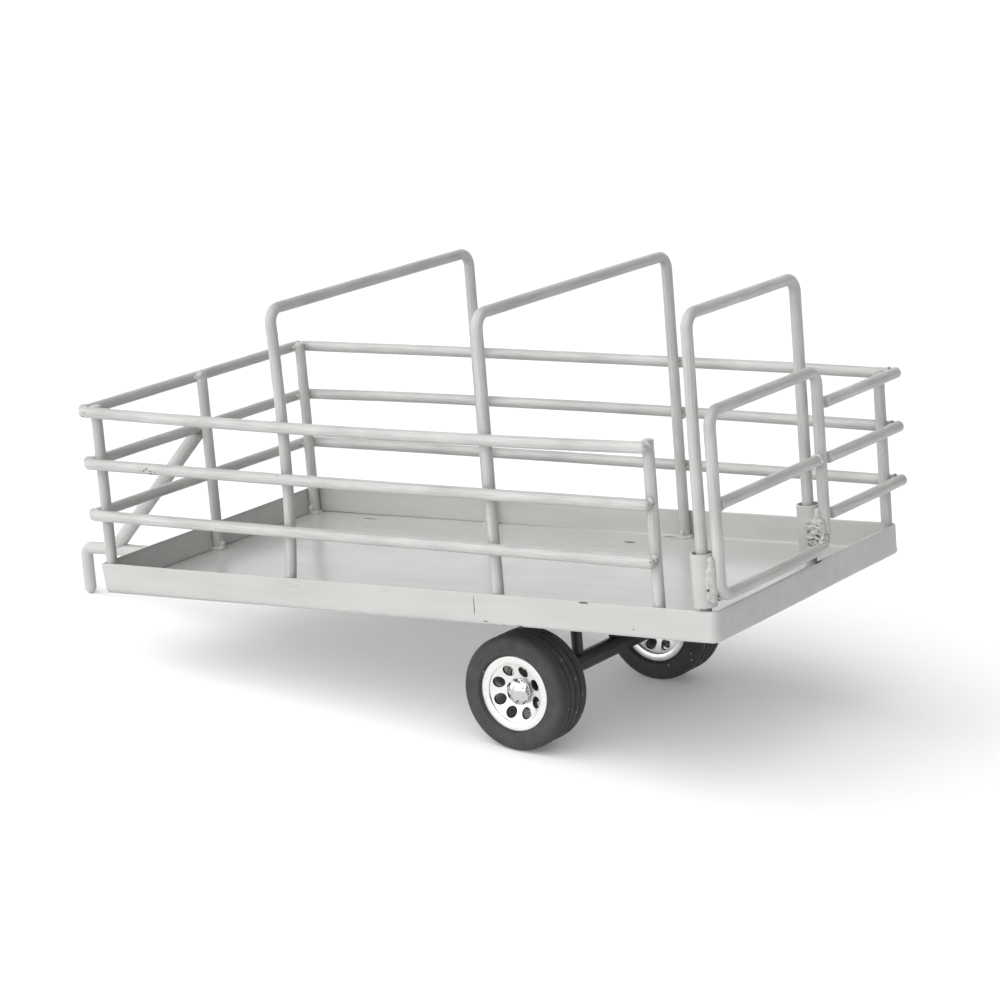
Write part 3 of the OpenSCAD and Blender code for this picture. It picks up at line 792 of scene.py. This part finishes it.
for vert in sheet.verts:
    p = vert.co
    near_front = max(0, 1 - (p.x - tray_low.x) / (9 * MM))
    lean = LEAN * near_front * (1 - (p.z - tray_low.z) / wall_h)
    waves = noise.noise_vector(p * 18) * 0.22 * MM + noise.noise_vector(p * 60) * 0.05 * MM
    vert.co = p + Vector((lean, 0, 0)) + waves
sheet.normal_update()
tray_mesh = bpy.data.meshes.new("painted_tray")
sheet.to_mesh(tray_mesh)
sheet.free()
tray_mesh.shade_smooth()
tray_mesh.set_sharp_from_angle(angle=math.radians(40))
tray_mesh.materials.append(sheet_enamel)
tray = show("painted_tray", tray_mesh)
hand_over(tray, "trailer", "pale_enamel", "tray")
print("tray:", len(tray_mesh.polygons), "faces")

# %% [markdown]
# ## Weld beads
# Every joint was welded by hand with a small electrode and then painted. A weld is a
# row of frozen drops that run into each other. The tree lays drops along short lines,
# fuses them through a volume, smooths the skin and roughens it again with small lumps
# and pinholes. The lines are worked out from the pieces that meet: round a post's
# foot, at the crossing of a rail and a post, round the end of a bar.

# %% The weld tree
weld_tree, given = geometry_tree("Weld bead", {
    "Spacing": "Float", "Voxel": "Float", "Lumps": "Float", "Pinholes": "Float", "Calming": "Int",
    "Seed": "Int", "Material": "Material",
})
line = add(weld_tree, "GeometryNodeMeshToCurve", {0: given["Geometry"]})
drops = add(weld_tree, "GeometryNodeCurveToPoints", {0: line.outputs[0], "Length": given["Spacing"]},
            mode="LENGTH")
drop_size = add(weld_tree, "GeometryNodeInputNamedAttribute", {"Name": "bead_size"},
                data_type="FLOAT").outputs[0]
luck = add(weld_tree, "FunctionNodeRandomValue", {2: 0.82, 3: 1.15, 8: given["Seed"]},
           data_type="FLOAT").outputs[1]
drop_size = add(weld_tree, "ShaderNodeMath", {0: drop_size, 1: luck}, operation="MULTIPLY").outputs[0]
ball = add(weld_tree, "GeometryNodeMeshIcoSphere", {"Radius": 1, "Subdivisions": 2}).outputs[0]
laid = add(weld_tree, "GeometryNodeInstanceOnPoints",
           {0: drops.outputs[0], "Instance": ball, "Scale": drop_size})
real = add(weld_tree, "GeometryNodeRealizeInstances", {0: laid.outputs[0]}).outputs[0]
pool = add(weld_tree, "GeometryNodeMeshToVolume", {0: real, "Voxel Size": given["Voxel"],
                                                  "Interior Band Width": 0.001},
                                                  resolution_mode="VOXEL_SIZE")
skin = add(weld_tree, "GeometryNodeVolumeToMesh", {0: pool.outputs[0], "Voxel Size": given["Voxel"],
                                                  "Threshold": 0.1},
                                                  resolution_mode="VOXEL_SIZE").outputs[0]
place = add(weld_tree, "GeometryNodeInputPosition").outputs[0]
calm = add(weld_tree, "GeometryNodeBlurAttribute", {0: place, "Iterations": given["Calming"]},
           data_type="FLOAT_VECTOR").outputs[0]
skin = add(weld_tree, "GeometryNodeSetPosition", {0: skin, "Position": calm}).outputs[0]
normal = add(weld_tree, "GeometryNodeInputNormal").outputs[0]
LUMP_MM, PINHOLE_MM = 0.9, 1.7
lumps = add(weld_tree, "ShaderNodeTexNoise",
            {"Vector": place, "Scale": 1000 / LUMP_MM, "Detail": 2}).outputs["Fac"]
lumps = add(weld_tree, "ShaderNodeMapRange", {"Value": lumps, "To Min": -1, "To Max": 1}).outputs[0]
lumps = add(weld_tree, "ShaderNodeMath", {0: lumps, 1: given["Lumps"]}, operation="MULTIPLY").outputs[0]
holes = add(weld_tree, "ShaderNodeTexVoronoi",
            {"Vector": place, "Scale": 1000 / PINHOLE_MM}).outputs["Distance"]
holes = add(weld_tree, "ShaderNodeMapRange", {"Value": holes, "From Min": 0.24, "From Max": 0.1}).outputs[0]
holes = add(weld_tree, "ShaderNodeMath", {0: holes, 1: given["Pinholes"]}, operation="MULTIPLY").outputs[0]
rise = add(weld_tree, "ShaderNodeMath", {0: lumps, 1: holes}, operation="SUBTRACT").outputs[0]
rise = add(weld_tree, "ShaderNodeVectorMath", {0: normal, "Scale": rise}, operation="SCALE").outputs[0]
skin = add(weld_tree, "GeometryNodeSetPosition", {0: skin, "Offset": rise}).outputs[0]
close_tree(weld_tree, skin, given["Material"])
print("weld tree:", len(weld_tree.nodes), "nodes")


# %% Lines for the welds
def ring_line(centre, axis, facing, radius, spread=180, steps=14):
    """A line round an axis, spreading to both sides of the way it faces, in degrees."""
    return [centre + Quaternion(axis, math.radians(spread * (2 * i / steps - 1))) @ (facing * radius)
            for i in range(steps + 1)]


def short_line(centre, direction, length):
    """A straight line of a length, through its centre."""
    return [centre - direction * length / 2, centre + direction * length / 2]


ALONG, ACROSS = Vector((1, 0, 0)), Vector((0, 1, 0))
CORNER_LUMP = Vector((1.1, 1.0, 0.2)) * MM
NEAR_END_LUMP = Vector((-1.6, 1.2, 0.3)) * MM
trailer_welds, gate_welds, rough_welds, axle_welds = [], [], [], []

# Feet: round the side of each post and leg that faces the open floor
feet = [middle(node).xy.to_3d() for node in POSTS]
for node in ("front_hoop", "middle_hoop", "gate_hoop"):
    path = hoop_path(node)
    feet += [path[0].xy.to_3d(), path[-1].xy.to_3d()]
for foot in feet:
    foot.z = FLOOR_Z + 0.3 * MM
    wall_side = math.copysign(1, foot.y) if abs(foot.y) > 20 * MM else 0
    facing = Vector((0, -wall_side, 0)) if wall_side else ALONG
    trailer_welds.append((ring_line(foot, UP, facing, ROD_R + 0.4 * MM, 125), 1.2 * MM))
    blob = foot + facing * (ROD_R + 0.1 * MM) + UP * 1.4 * MM
    trailer_welds.append((short_line(blob, UP, 2 * MM), 1.5 * MM))

# A puddle that ran from the rear hoop's far foot to the rear wall, and a cap on the stake
puddle = hoop_path("gate_hoop")[-1].xy.to_3d() + Vector((3.4, -0.5, 0)) * MM
puddle.z = FLOOR_Z + 0.6 * MM
trailer_welds.append((short_line(puddle, ALONG, 4 * MM), 1.5 * MM))
stake_top = middle("centre_stake").xy.to_3d()
stake_top.z = post_high.z - 1.2 * MM
trailer_welds.append((short_line(stake_top, ACROSS, 1.5 * MM), 2.3 * MM))

# Crossings: a lump where a rail touches a post or a hoop's leg
for level in ("low", "mid", "top"):
    for side in ("near", "far"):
        start, end = straight_path(f"{side}_rail_{level}")
        posts = {"near": ["front_near_post", "near_end_post"],
                 "far": ["front_far_post", "rear_far_post"]}[side]
        for node in posts + ["front_hoop", "middle_hoop"]:
            x = middle(node).x
            z = start.z + (end.z - start.z) * (x - start.x) / (end.x - start.x)
            inwards = ROD_R if side == "near" else -ROD_R
            touch = Vector((x, start.y + inwards, z))
            trailer_welds.append((short_line(touch, ALONG, 3.2 * MM), 1.25 * MM))
    for rail, posts in ((f"front_rail_{level}", ["front_near_post", "front_far_post", "centre_stake"]),
                        (f"rear_rail_{level}", ["rear_far_post"])):
        at = middle(rail)
        inwards = ROD_R if at.x < 0 else -ROD_R
        for node in posts:
            touch = Vector((at.x + inwards, middle(node).y, at.z))
            trailer_welds.append((short_line(touch, ACROSS, 3.2 * MM), 1.25 * MM))

# Corners: beads round the rails that butt against another rail, and lumps on lapped ends
for level in ("low", "mid", "top"):
    front = straight_path(f"front_rail_{level}")
    trailer_welds.append((ring_line(front[0], ACROSS, UP, ROD_R - 0.1 * MM, 150), 0.85 * MM))
    corner = front[1] + CORNER_LUMP
    trailer_welds.append((short_line(corner, UP, 1.6 * MM), 2.2 * MM))
    far_end = straight_path(f"far_rail_{level}")[1]
    trailer_welds.append((ring_line(far_end, ALONG, UP, ROD_R - 0.1 * MM, 150), 0.8 * MM))
    near_end = straight_path(f"near_rail_{level}")[1]
    lump = near_end + NEAR_END_LUMP
    trailer_welds.append((short_line(lump, Vector((0.5, 0.2, 0.8)).normalized(), 2.4 * MM), 1.9 * MM))

# The brace's two ends, and stitches that hold the drawbar under the floor
brace_line = (brace_top - brace_foot).normalized()
trailer_welds.append((ring_line(brace_foot + UP * BAR_R, UP, ALONG, BRACE_R + 0.5 * MM), 0.95 * MM))
trailer_welds.append((ring_line(brace_top - brace_line * 3.4 * MM, brace_line, UP, BRACE_R - 0.3 * MM, 130),
                      1.1 * MM))
STITCH, STITCH_GAP = 14 * MM, 22 * MM
for side in (-1, 1):
    for number in range(4):
        at = Vector((tray_low.x + 10 * MM + number * STITCH_GAP, side * 1.9 * MM, tray_low.z - 0.3 * MM))
        trailer_welds.append((short_line(at, ALONG, STITCH), 0.9 * MM))

# The gate: the gap between each sleeve and its upright is filled up with metal. The far
# one was gone over again and again, and is rough all over
near_sleeve, far_sleeve = middle("near_gate_sleeve"), middle("far_gate_sleeve")
sleeve_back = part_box("near_gate_sleeve")[1].x - near_sleeve.x
for at in (near_sleeve, far_sleeve):
    for side in (-1, 1):
        seam = at + Vector((sleeve_back + 0.4 * MM, side * 2.0 * MM, 0.5 * MM))
        gate_welds.append((short_line(seam, UP, 15 * MM), 1.9 * MM))
        fillet = at + Vector((sleeve_back - 0.8 * MM, side * 3.1 * MM, -1.5 * MM))
        gate_welds.append((short_line(fillet, UP, 11 * MM), 1.5 * MM))
for step in range(6):
    patch = far_sleeve + Vector((sleeve_back - 0.2 * MM, -3.3 * MM, (4 - 2.2 * step) * MM))
    rough_welds.append((short_line(patch, ALONG, 6 * MM), 1.6 * MM))
for end, inwards in zip(straight_path("gate_mid_bar"), (1, -1)):
    collar = end + ACROSS * inwards * 0.9 * MM
    gate_welds.append((ring_line(collar, ACROSS, UP, ROD_R - 0.3 * MM), 1.15 * MM))

# The axle's struts, at the floor and on the tube
for node in ("near_strut", "far_strut"):
    low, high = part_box(node)
    at = middle(node)
    for z, bead in ((high.z, 0.9 * MM), (low.z + 1.0 * MM, 0.6 * MM)):
        axle_welds.append((ring_line(Vector((at.x, at.y, z)), UP, ALONG, ROD_R), bead))
print("welds:", len(trailer_welds), len(gate_welds), len(rough_welds), len(axle_welds))

# %% The welds themselves, one mesh for each body and paint
for name, welds, body, slot, material, lumps_mm, pinholes_mm, calming in (
        ("trailer_welds", trailer_welds, "trailer", "pale_enamel", weld_enamel, 0.11, 0.1, 3),
        ("gate_welds", gate_welds, "gate", "pale_enamel", weld_enamel, 0.06, 0.04, 9),
        ("far_sleeve_weld", rough_welds, "gate", "pale_enamel", weld_enamel, 0.2, 0.4, 3),
        ("axle_welds", axle_welds, "trailer", "black_enamel", axle_weld_enamel, 0.08, 0.05, 4)):
    source = chains_mesh(name, [chain for chain, bead in welds], [bead for chain, bead in welds])
    beads = run_tree(name, weld_tree, source, {
        "Spacing": 0.7 * MM, "Voxel": 0.26 * MM, "Lumps": lumps_mm * MM, "Pinholes": pinholes_mm * MM,
        "Calming": calming, "Seed": 7, "Material": material,
    })
    hand_over(beads, body, slot)
    print(name, len(beads.data.polygons), "faces")

# %% [markdown]
# ## Axle
# A plain tube is welded under the floor on two short struts, painted black with what
# was in the tin, and the bright axle rod runs through it.

# %% Axle tube, struts and rod
tube_low, tube_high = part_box("axle_tube")
TUBE_R = (tube_high.z - tube_low.z) / 2
tube = make_rod("painted_axle_tube", straight_path("axle_tube"), axle_enamel, radius=TUBE_R, tip=0.4 * MM,
                wander=0.1 * MM)
hand_over(tube, "trailer", "black_enamel", "axle_tube")
for node in ("near_strut", "far_strut"):
    strut = make_rod("painted_" + node, straight_path(node), axle_enamel, wander=0.1 * MM)
    hand_over(strut, "trailer", "black_enamel", node)
axle = make_rod("drawn_axle_rod", straight_path("axle_rod"), axle_metal, tip=0.4 * MM, wander=0)
hand_over(axle, "trailer", "bright_steel", "axle_rod")
print("axle tube diameter, mm:", round(2 * TUBE_R / MM, 2))

# %% [markdown]
# ## Wheels
# The wheels are bought toy wheels: a rubber tyre with four ribs on a turned rim. Both
# are solids of revolution, so each is a profile turned round the axle. The rim is
# hollow between its two dished faces. Eight round holes are then cut through both
# faces, and a bevel breaks every edge, because a sharp edge never catches the light.
# What lies behind the dished faces, the hollow and the walls of the holes, gets a dark,
# dull metal as painted shade.


# %% Tyres
def tyre_profile(radius, half, seat, flange, bead_top):
    """A tyre's section as (radius, run) points, from the middle of its tread round to the middle again."""
    shoulder, groove_w, groove_d, pitch, soft = 3.0 * MM, 0.9 * MM, 1.2 * MM, 3.8 * MM, 0.22 * MM
    outside = []
    for middle_run in (0, pitch):
        for sign in (-1, 1):
            run = middle_run + sign * groove_w / 2
            if run < 0:
                continue
            floor_first = sign > 0
            edge = arc((radius - soft, run + sign * soft), soft, -90 * sign, 0, 3)
            floor = [(radius - groove_d, run - sign * soft * 0.5), (radius - groove_d + soft, run)]
            outside += (floor + edge) if floor_first else (floor + edge)[::-1]
    outside += arc((radius - shoulder, half - shoulder), shoulder, 0, 80, 8)
    outside += [(radius - 4.6 * MM, half - 0.02 * MM), (flange + 2.2 * MM, half - 0.12 * MM)]
    outside += arc((flange + 1.15 * MM, half - 0.7 * MM), 0.6 * MM, 90, 180, 4)
    outside += [(flange + 0.35 * MM, bead_top), (flange - 0.2 * MM, bead_top - 0.4 * MM),
                (seat, bead_top - 1 * MM)]
    return [(r, -h) for r, h in reversed(outside)] + outside


WHEELS = {"near": -1, "far": 1}
RIM_INSET, FLANGE_T = 1.5 * MM, 1.0 * MM
for side in WHEELS:
    tyre_low, tyre_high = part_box(side + "_tyre")
    rim_low, rim_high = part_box(side + "_rim")
    radius, half = (tyre_high.z - tyre_low.z) / 2, (tyre_high.y - tyre_low.y) / 2
    rim_r = (rim_high.z - rim_low.z) / 2
    profile = tyre_profile(radius, half, rim_r - 1.6 * MM, rim_r, half - RIM_INSET - 0.1 * MM)
    tyre = turned(f"ribbed_{side}_tyre", [profile], middle(side + "_tyre"), ACROSS, rubber, segments=128,
                  sharp=50)
    hand_over(tyre, side + "_wheel", "tyre_rubber", side + "_tyre")
print("tyres:", round(2 * radius / MM, 1), "mm across,", round(2 * half / MM, 1), "mm wide")

# %% Rims
HOLES, HOLE_R, HOLE_CIRCLE_R = 8, 2.4 * MM, 9.3 * MM
BORE_R, HUB_R, HUB_INSET = 2.44 * MM, 5.8 * MM, 4 * MM
DISH_DEPTH, DISH_SLOPE, HOLES_END_R = 4.3 * MM, 0.42, 12 * MM


def rim_profiles(rim_r, half):
    """A rim's outer section and the section of the hollow between its two faces."""
    hub_r, hub_half, wall = HUB_R, half - HUB_INSET, 1.3 * MM
    dish_r, seat_r = rim_r - 3.4 * MM, rim_r - 1.6 * MM
    face = [(BORE_R, hub_half), (hub_r, hub_half), (hub_r + 0.6 * MM, hub_half + 0.1 * MM),
            (dish_r - 0.5 * MM, half - 1.3 * MM), (dish_r, half - 1.1 * MM), (dish_r, half - 0.25 * MM),
            (dish_r + 0.35 * MM, half), (rim_r - 0.35 * MM, half), (rim_r, half - 0.3 * MM),
            (rim_r, half - FLANGE_T), (seat_r, half - FLANGE_T - 0.1 * MM)]
    hollow = [(BORE_R + 2 * MM, hub_half - wall), (hub_r + 0.5 * MM, hub_half - wall),
              (dish_r - 0.8 * MM, half - 1.5 * MM - wall), (seat_r - 1.1 * MM, half - 2.6 * MM)]
    outer = face + [(r, -h) for r, h in reversed(face)]
    inner = hollow + [(r, -h) for r, h in reversed(hollow)]
    return [outer, inner[::-1]]


def hole_cutters(centre, half):
    """Eight rods that stand where the holes go."""
    cutters = bmesh.new()
    for number in range(HOLES):
        angle = math.tau * (number + 0.5) / HOLES
        at = centre + Vector((math.cos(angle), 0, math.sin(angle))) * HOLE_CIRCLE_R
        stand = Matrix.Translation(at) @ Matrix.Rotation(math.pi / 2, 4, "X")
        bmesh.ops.create_cone(cutters, cap_ends=True, segments=32, radius1=HOLE_R, radius2=HOLE_R,
                              depth=3 * half, matrix=stand)
    mesh = bpy.data.meshes.new("cutters")
    cutters.to_mesh(mesh)
    cutters.free()
    return show("cutters", mesh)


def darken_inside_as_shade(mesh, centre, half):
    """Gives the faces that lie deeper than the dished face, in the hollow and the holes, a dark metal as
    painted shade.
    """
    mesh.materials.append(shade_dark_metal)
    for face in mesh.polygons:
        offset = face.center - centre
        radius, run = math.hypot(offset.x, offset.z), abs(offset.y)
        dish_run = half - DISH_DEPTH + max(0, radius - HUB_R) * DISH_SLOPE
        if BORE_R * 1.2 < radius < HOLES_END_R and run < dish_run:
            face.material_index = 1


def keep_modified(piece):
    """Replaces a piece's mesh with what its modifiers make of it."""
    depsgraph = bpy.context.evaluated_depsgraph_get()
    made = bpy.data.meshes.new_from_object(piece.evaluated_get(depsgraph), depsgraph=depsgraph)
    piece.modifiers.clear()
    piece.data = made


for side in WHEELS:
    rim_low, rim_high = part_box(side + "_rim")
    centre = middle(side + "_rim")
    rim_r, half = (rim_high.z - rim_low.z) / 2, (rim_high.y - rim_low.y) / 2
    rim = turned(f"polished_{side}_rim", rim_profiles(rim_r, half), centre, ACROSS, rim_metal, segments=96)
    cutters = hole_cutters(centre, half)
    boolean = rim.modifiers.new("holes", "BOOLEAN")
    boolean.object, boolean.operation, boolean.solver = cutters, "DIFFERENCE", "EXACT"
    keep_modified(rim)
    bpy.data.objects.remove(cutters)
    bevel = rim.modifiers.new("broken edges", "BEVEL")
    bevel.width, bevel.segments, bevel.limit_method = 0.16 * MM, 2, "ANGLE"
    bevel.angle_limit = math.radians(40)
    keep_modified(rim)
    darken_inside_as_shade(rim.data, centre, half)
    rim.data.shade_smooth()
    rim.data.set_sharp_from_angle(angle=math.radians(40))
    hand_over(rim, side + "_wheel", "polished_rim", side + "_rim")
    print(rim.name, len(rim.data.polygons), "faces")

# %% [markdown]
# ## Axle caps
# A pressed, chromed push-on cap closes each end of the axle. It is a shallow dome
# with a short skirt, and it turns with nothing: it belongs to the axle.

# %% The two caps
for side, sign in WHEELS.items():
    low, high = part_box(side + "_axle_cap")
    radius, height = (high.z - low.z) / 2, high.y - low.y
    out = ACROSS * sign
    base = middle(side + "_axle_cap") - out * height / 2
    skirt, dome_h, axis_r = 0.9 * MM, height - 0.9 * MM, 0.02 * MM
    bore_r, roof = 2.4 * MM, 1 * MM
    ball = (radius ** 2 + dome_h ** 2) / (2 * dome_h)
    reach = math.degrees(math.asin(radius * 0.93 / ball))
    dome = arc((0, height - ball), ball, 90 - reach, 90, 12)
    profile = [(bore_r, 0), (radius, 0), (radius, skirt * 0.8)] + dome[:-1]
    profile += [(axis_r, height), (axis_r, roof), (bore_r, roof)]
    cap = turned(f"chromed_{side}_cap", [profile], base, out, cap_metal, segments=64, sharp=30)
    hand_over(cap, "trailer", "chromed_cap", side + "_axle_cap")
print("caps:", round(2 * radius / MM, 1), "mm across")

# %% [markdown]
# ## Wear
# Chips and scuffs are not spread evenly. Each mark here is a place on the trailer and
# a reach, and every point of a piece within that reach is called worn. The enamel
# chips more where it is worn, so a mark breaks up into small irregular chips.

# %% Worn places
WORN = [  # place in mm in the trailer's own frame, reach in mm, strength
    ((-81, -79.7, 110.5), 6, 0.95), ((-113.6, -78, 134), 4, 0.9),
    ((165, -78, 87), 4, 1.0), ((165, -78, 110), 4, 0.9), ((163, -76, 132), 4, 0.8),
    ((187, -73, 73), 5, 1.0), ((187, 9, 77), 8, 1.0), ((187, -76, 78), 2, 1.3),
    ((188.5, -75, 70), 3, 1.2), ((186, -76, 90), 4, 0.8),
    ((189, 76, 68), 3, 0.6), ((-14, -76, 112), 4, 0.8), ((87, -76, 88), 4, 0.8), ((-14, -76, 90), 3, 0.8),
    ((-152, 0, 60), 5, 0.8), ((-187, 0, 52), 4, 0.7),
]
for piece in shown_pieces():
    if piece.type != "MESH" or "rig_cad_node" in piece:
        continue
    values = []
    for vertex in piece.data.vertices:
        here = vertex.co / MM
        values.append(max((s * max(0, 1 - (here - Vector(p)).length / r) ** 0.5 for p, r, s in WORN
                           if abs(here.x - p[0]) < r), default=0))
    if max(values) > 0:
        piece.data.attributes.new("wear", "FLOAT", "POINT").data.foreach_set("value", values)
        print("worn:", piece.name)

# %% [markdown]
# ## Studio
# A toy with one axle doesn't stand level: it rests on both tyres and on the tip of its
# hook. The floor is the plane that touches all three, so it is tilted by that angle,
# worked out from the two radii. The light is one very wide sun from the near side and
# above, so the near wall is the brightest face and the rear wall is in half shade. The
# paper floor glows a little, as paper does when light comes back to it from all round,
# and a white wall stands far behind for the tray's glossy floor to mirror.

# %% The floor
wheel, tip = middle("near_tyre"), Vector((hook_x, 0, bar_low.z + BAR_R))
wheel_r = (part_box("near_tyre")[1].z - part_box("near_tyre")[0].z) / 2
apart = Vector((wheel.x - tip.x, wheel.z - tip.z))
tilt = math.asin((wheel_r - BAR_R) / apart.length) - math.atan2(apart.y, apart.x)
ground_up = Vector((math.sin(tilt), 0, math.cos(tilt)))
ground_along = Vector((math.cos(tilt), 0, -math.sin(tilt)))
under_wheel = Vector((wheel.x, 0, wheel.z)) - ground_up * wheel_r
FLOOR_SIZE = 12
corners = [under_wheel + ground_along * FLOOR_SIZE * a + ACROSS * FLOOR_SIZE * b
           for a, b in ((-1, -1), (1, -1), (1, 1), (-1, 1))]
floor_mesh = bpy.data.meshes.new("studio_floor")
floor_mesh.from_pydata(corners, [], [(0, 1, 2, 3)])
floor_material = bpy.data.materials.new("white_studio_paper")
floor_material.use_nodes = True
floor_shader = floor_material.node_tree.nodes["Principled BSDF"]
floor_shader.inputs["Base Color"].default_value = linear("#F2F2F2")
floor_shader.inputs["Roughness"].default_value = 0.9
floor_shader.inputs["Specular IOR Level"].default_value = 0.2
floor_shader.inputs["Emission Color"].default_value = linear("#FFFFFF")
floor_shader.inputs["Emission Strength"].default_value = 0.12
floor_mesh.materials.append(floor_material)
show("studio_floor", floor_mesh)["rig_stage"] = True

# A white wall far behind, which the tray's glossy floor mirrors
WALL_AWAY, WALL_HALF, WALL_H = 5.5, 9, 5
behind = Vector((-math.sin(AZIMUTH), math.cos(AZIMUTH), 0))
sideways = behind.cross(UP)
wall_points = [behind * WALL_AWAY + sideways * WALL_HALF * a + UP * b
               for a, b in ((-1, -1), (1, -1), (1, WALL_H), (-1, WALL_H))]
wall_mesh = bpy.data.meshes.new("studio_wall")
wall_mesh.from_pydata(wall_points, [], [(0, 1, 2, 3)])
wall_mesh.materials.append(floor_material)
show("studio_wall", wall_mesh)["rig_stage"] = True
print("floor tilt, degrees:", round(math.degrees(tilt), 2))


# %% The light
def soft_sun(name, towards, power, spread):
    """A light from very far away, as wide in the sky as its spread in degrees."""
    data = bpy.data.lights.new(name, "SUN")
    data.energy, data.angle = power, math.radians(spread)
    light = bpy.data.objects.new(name, data)
    light.rotation_mode = "QUATERNION"
    light.rotation_quaternion = Vector(towards).to_track_quat("Z", "Y")
    bpy.context.scene.collection.objects.link(light)


soft_sun("near_side_light", (-0.25, -1.0, 1.0), 4.0, 105)
world = bpy.data.worlds.new("studio")
world.use_nodes = True
world.node_tree.nodes["Background"].inputs["Color"].default_value = linear("#FFFFFF")
world.node_tree.nodes["Background"].inputs["Strength"].default_value = 0.17
bpy.context.scene.world = world
bpy.context.scene.view_settings.view_transform = "Standard"

# %% [markdown]
# ## Size
# Last, the finished model's box is printed, in mm.

# %% The finished box
low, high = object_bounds()
print("visual box, mm:", [round(v / MM, 2) for v in (high - low)])
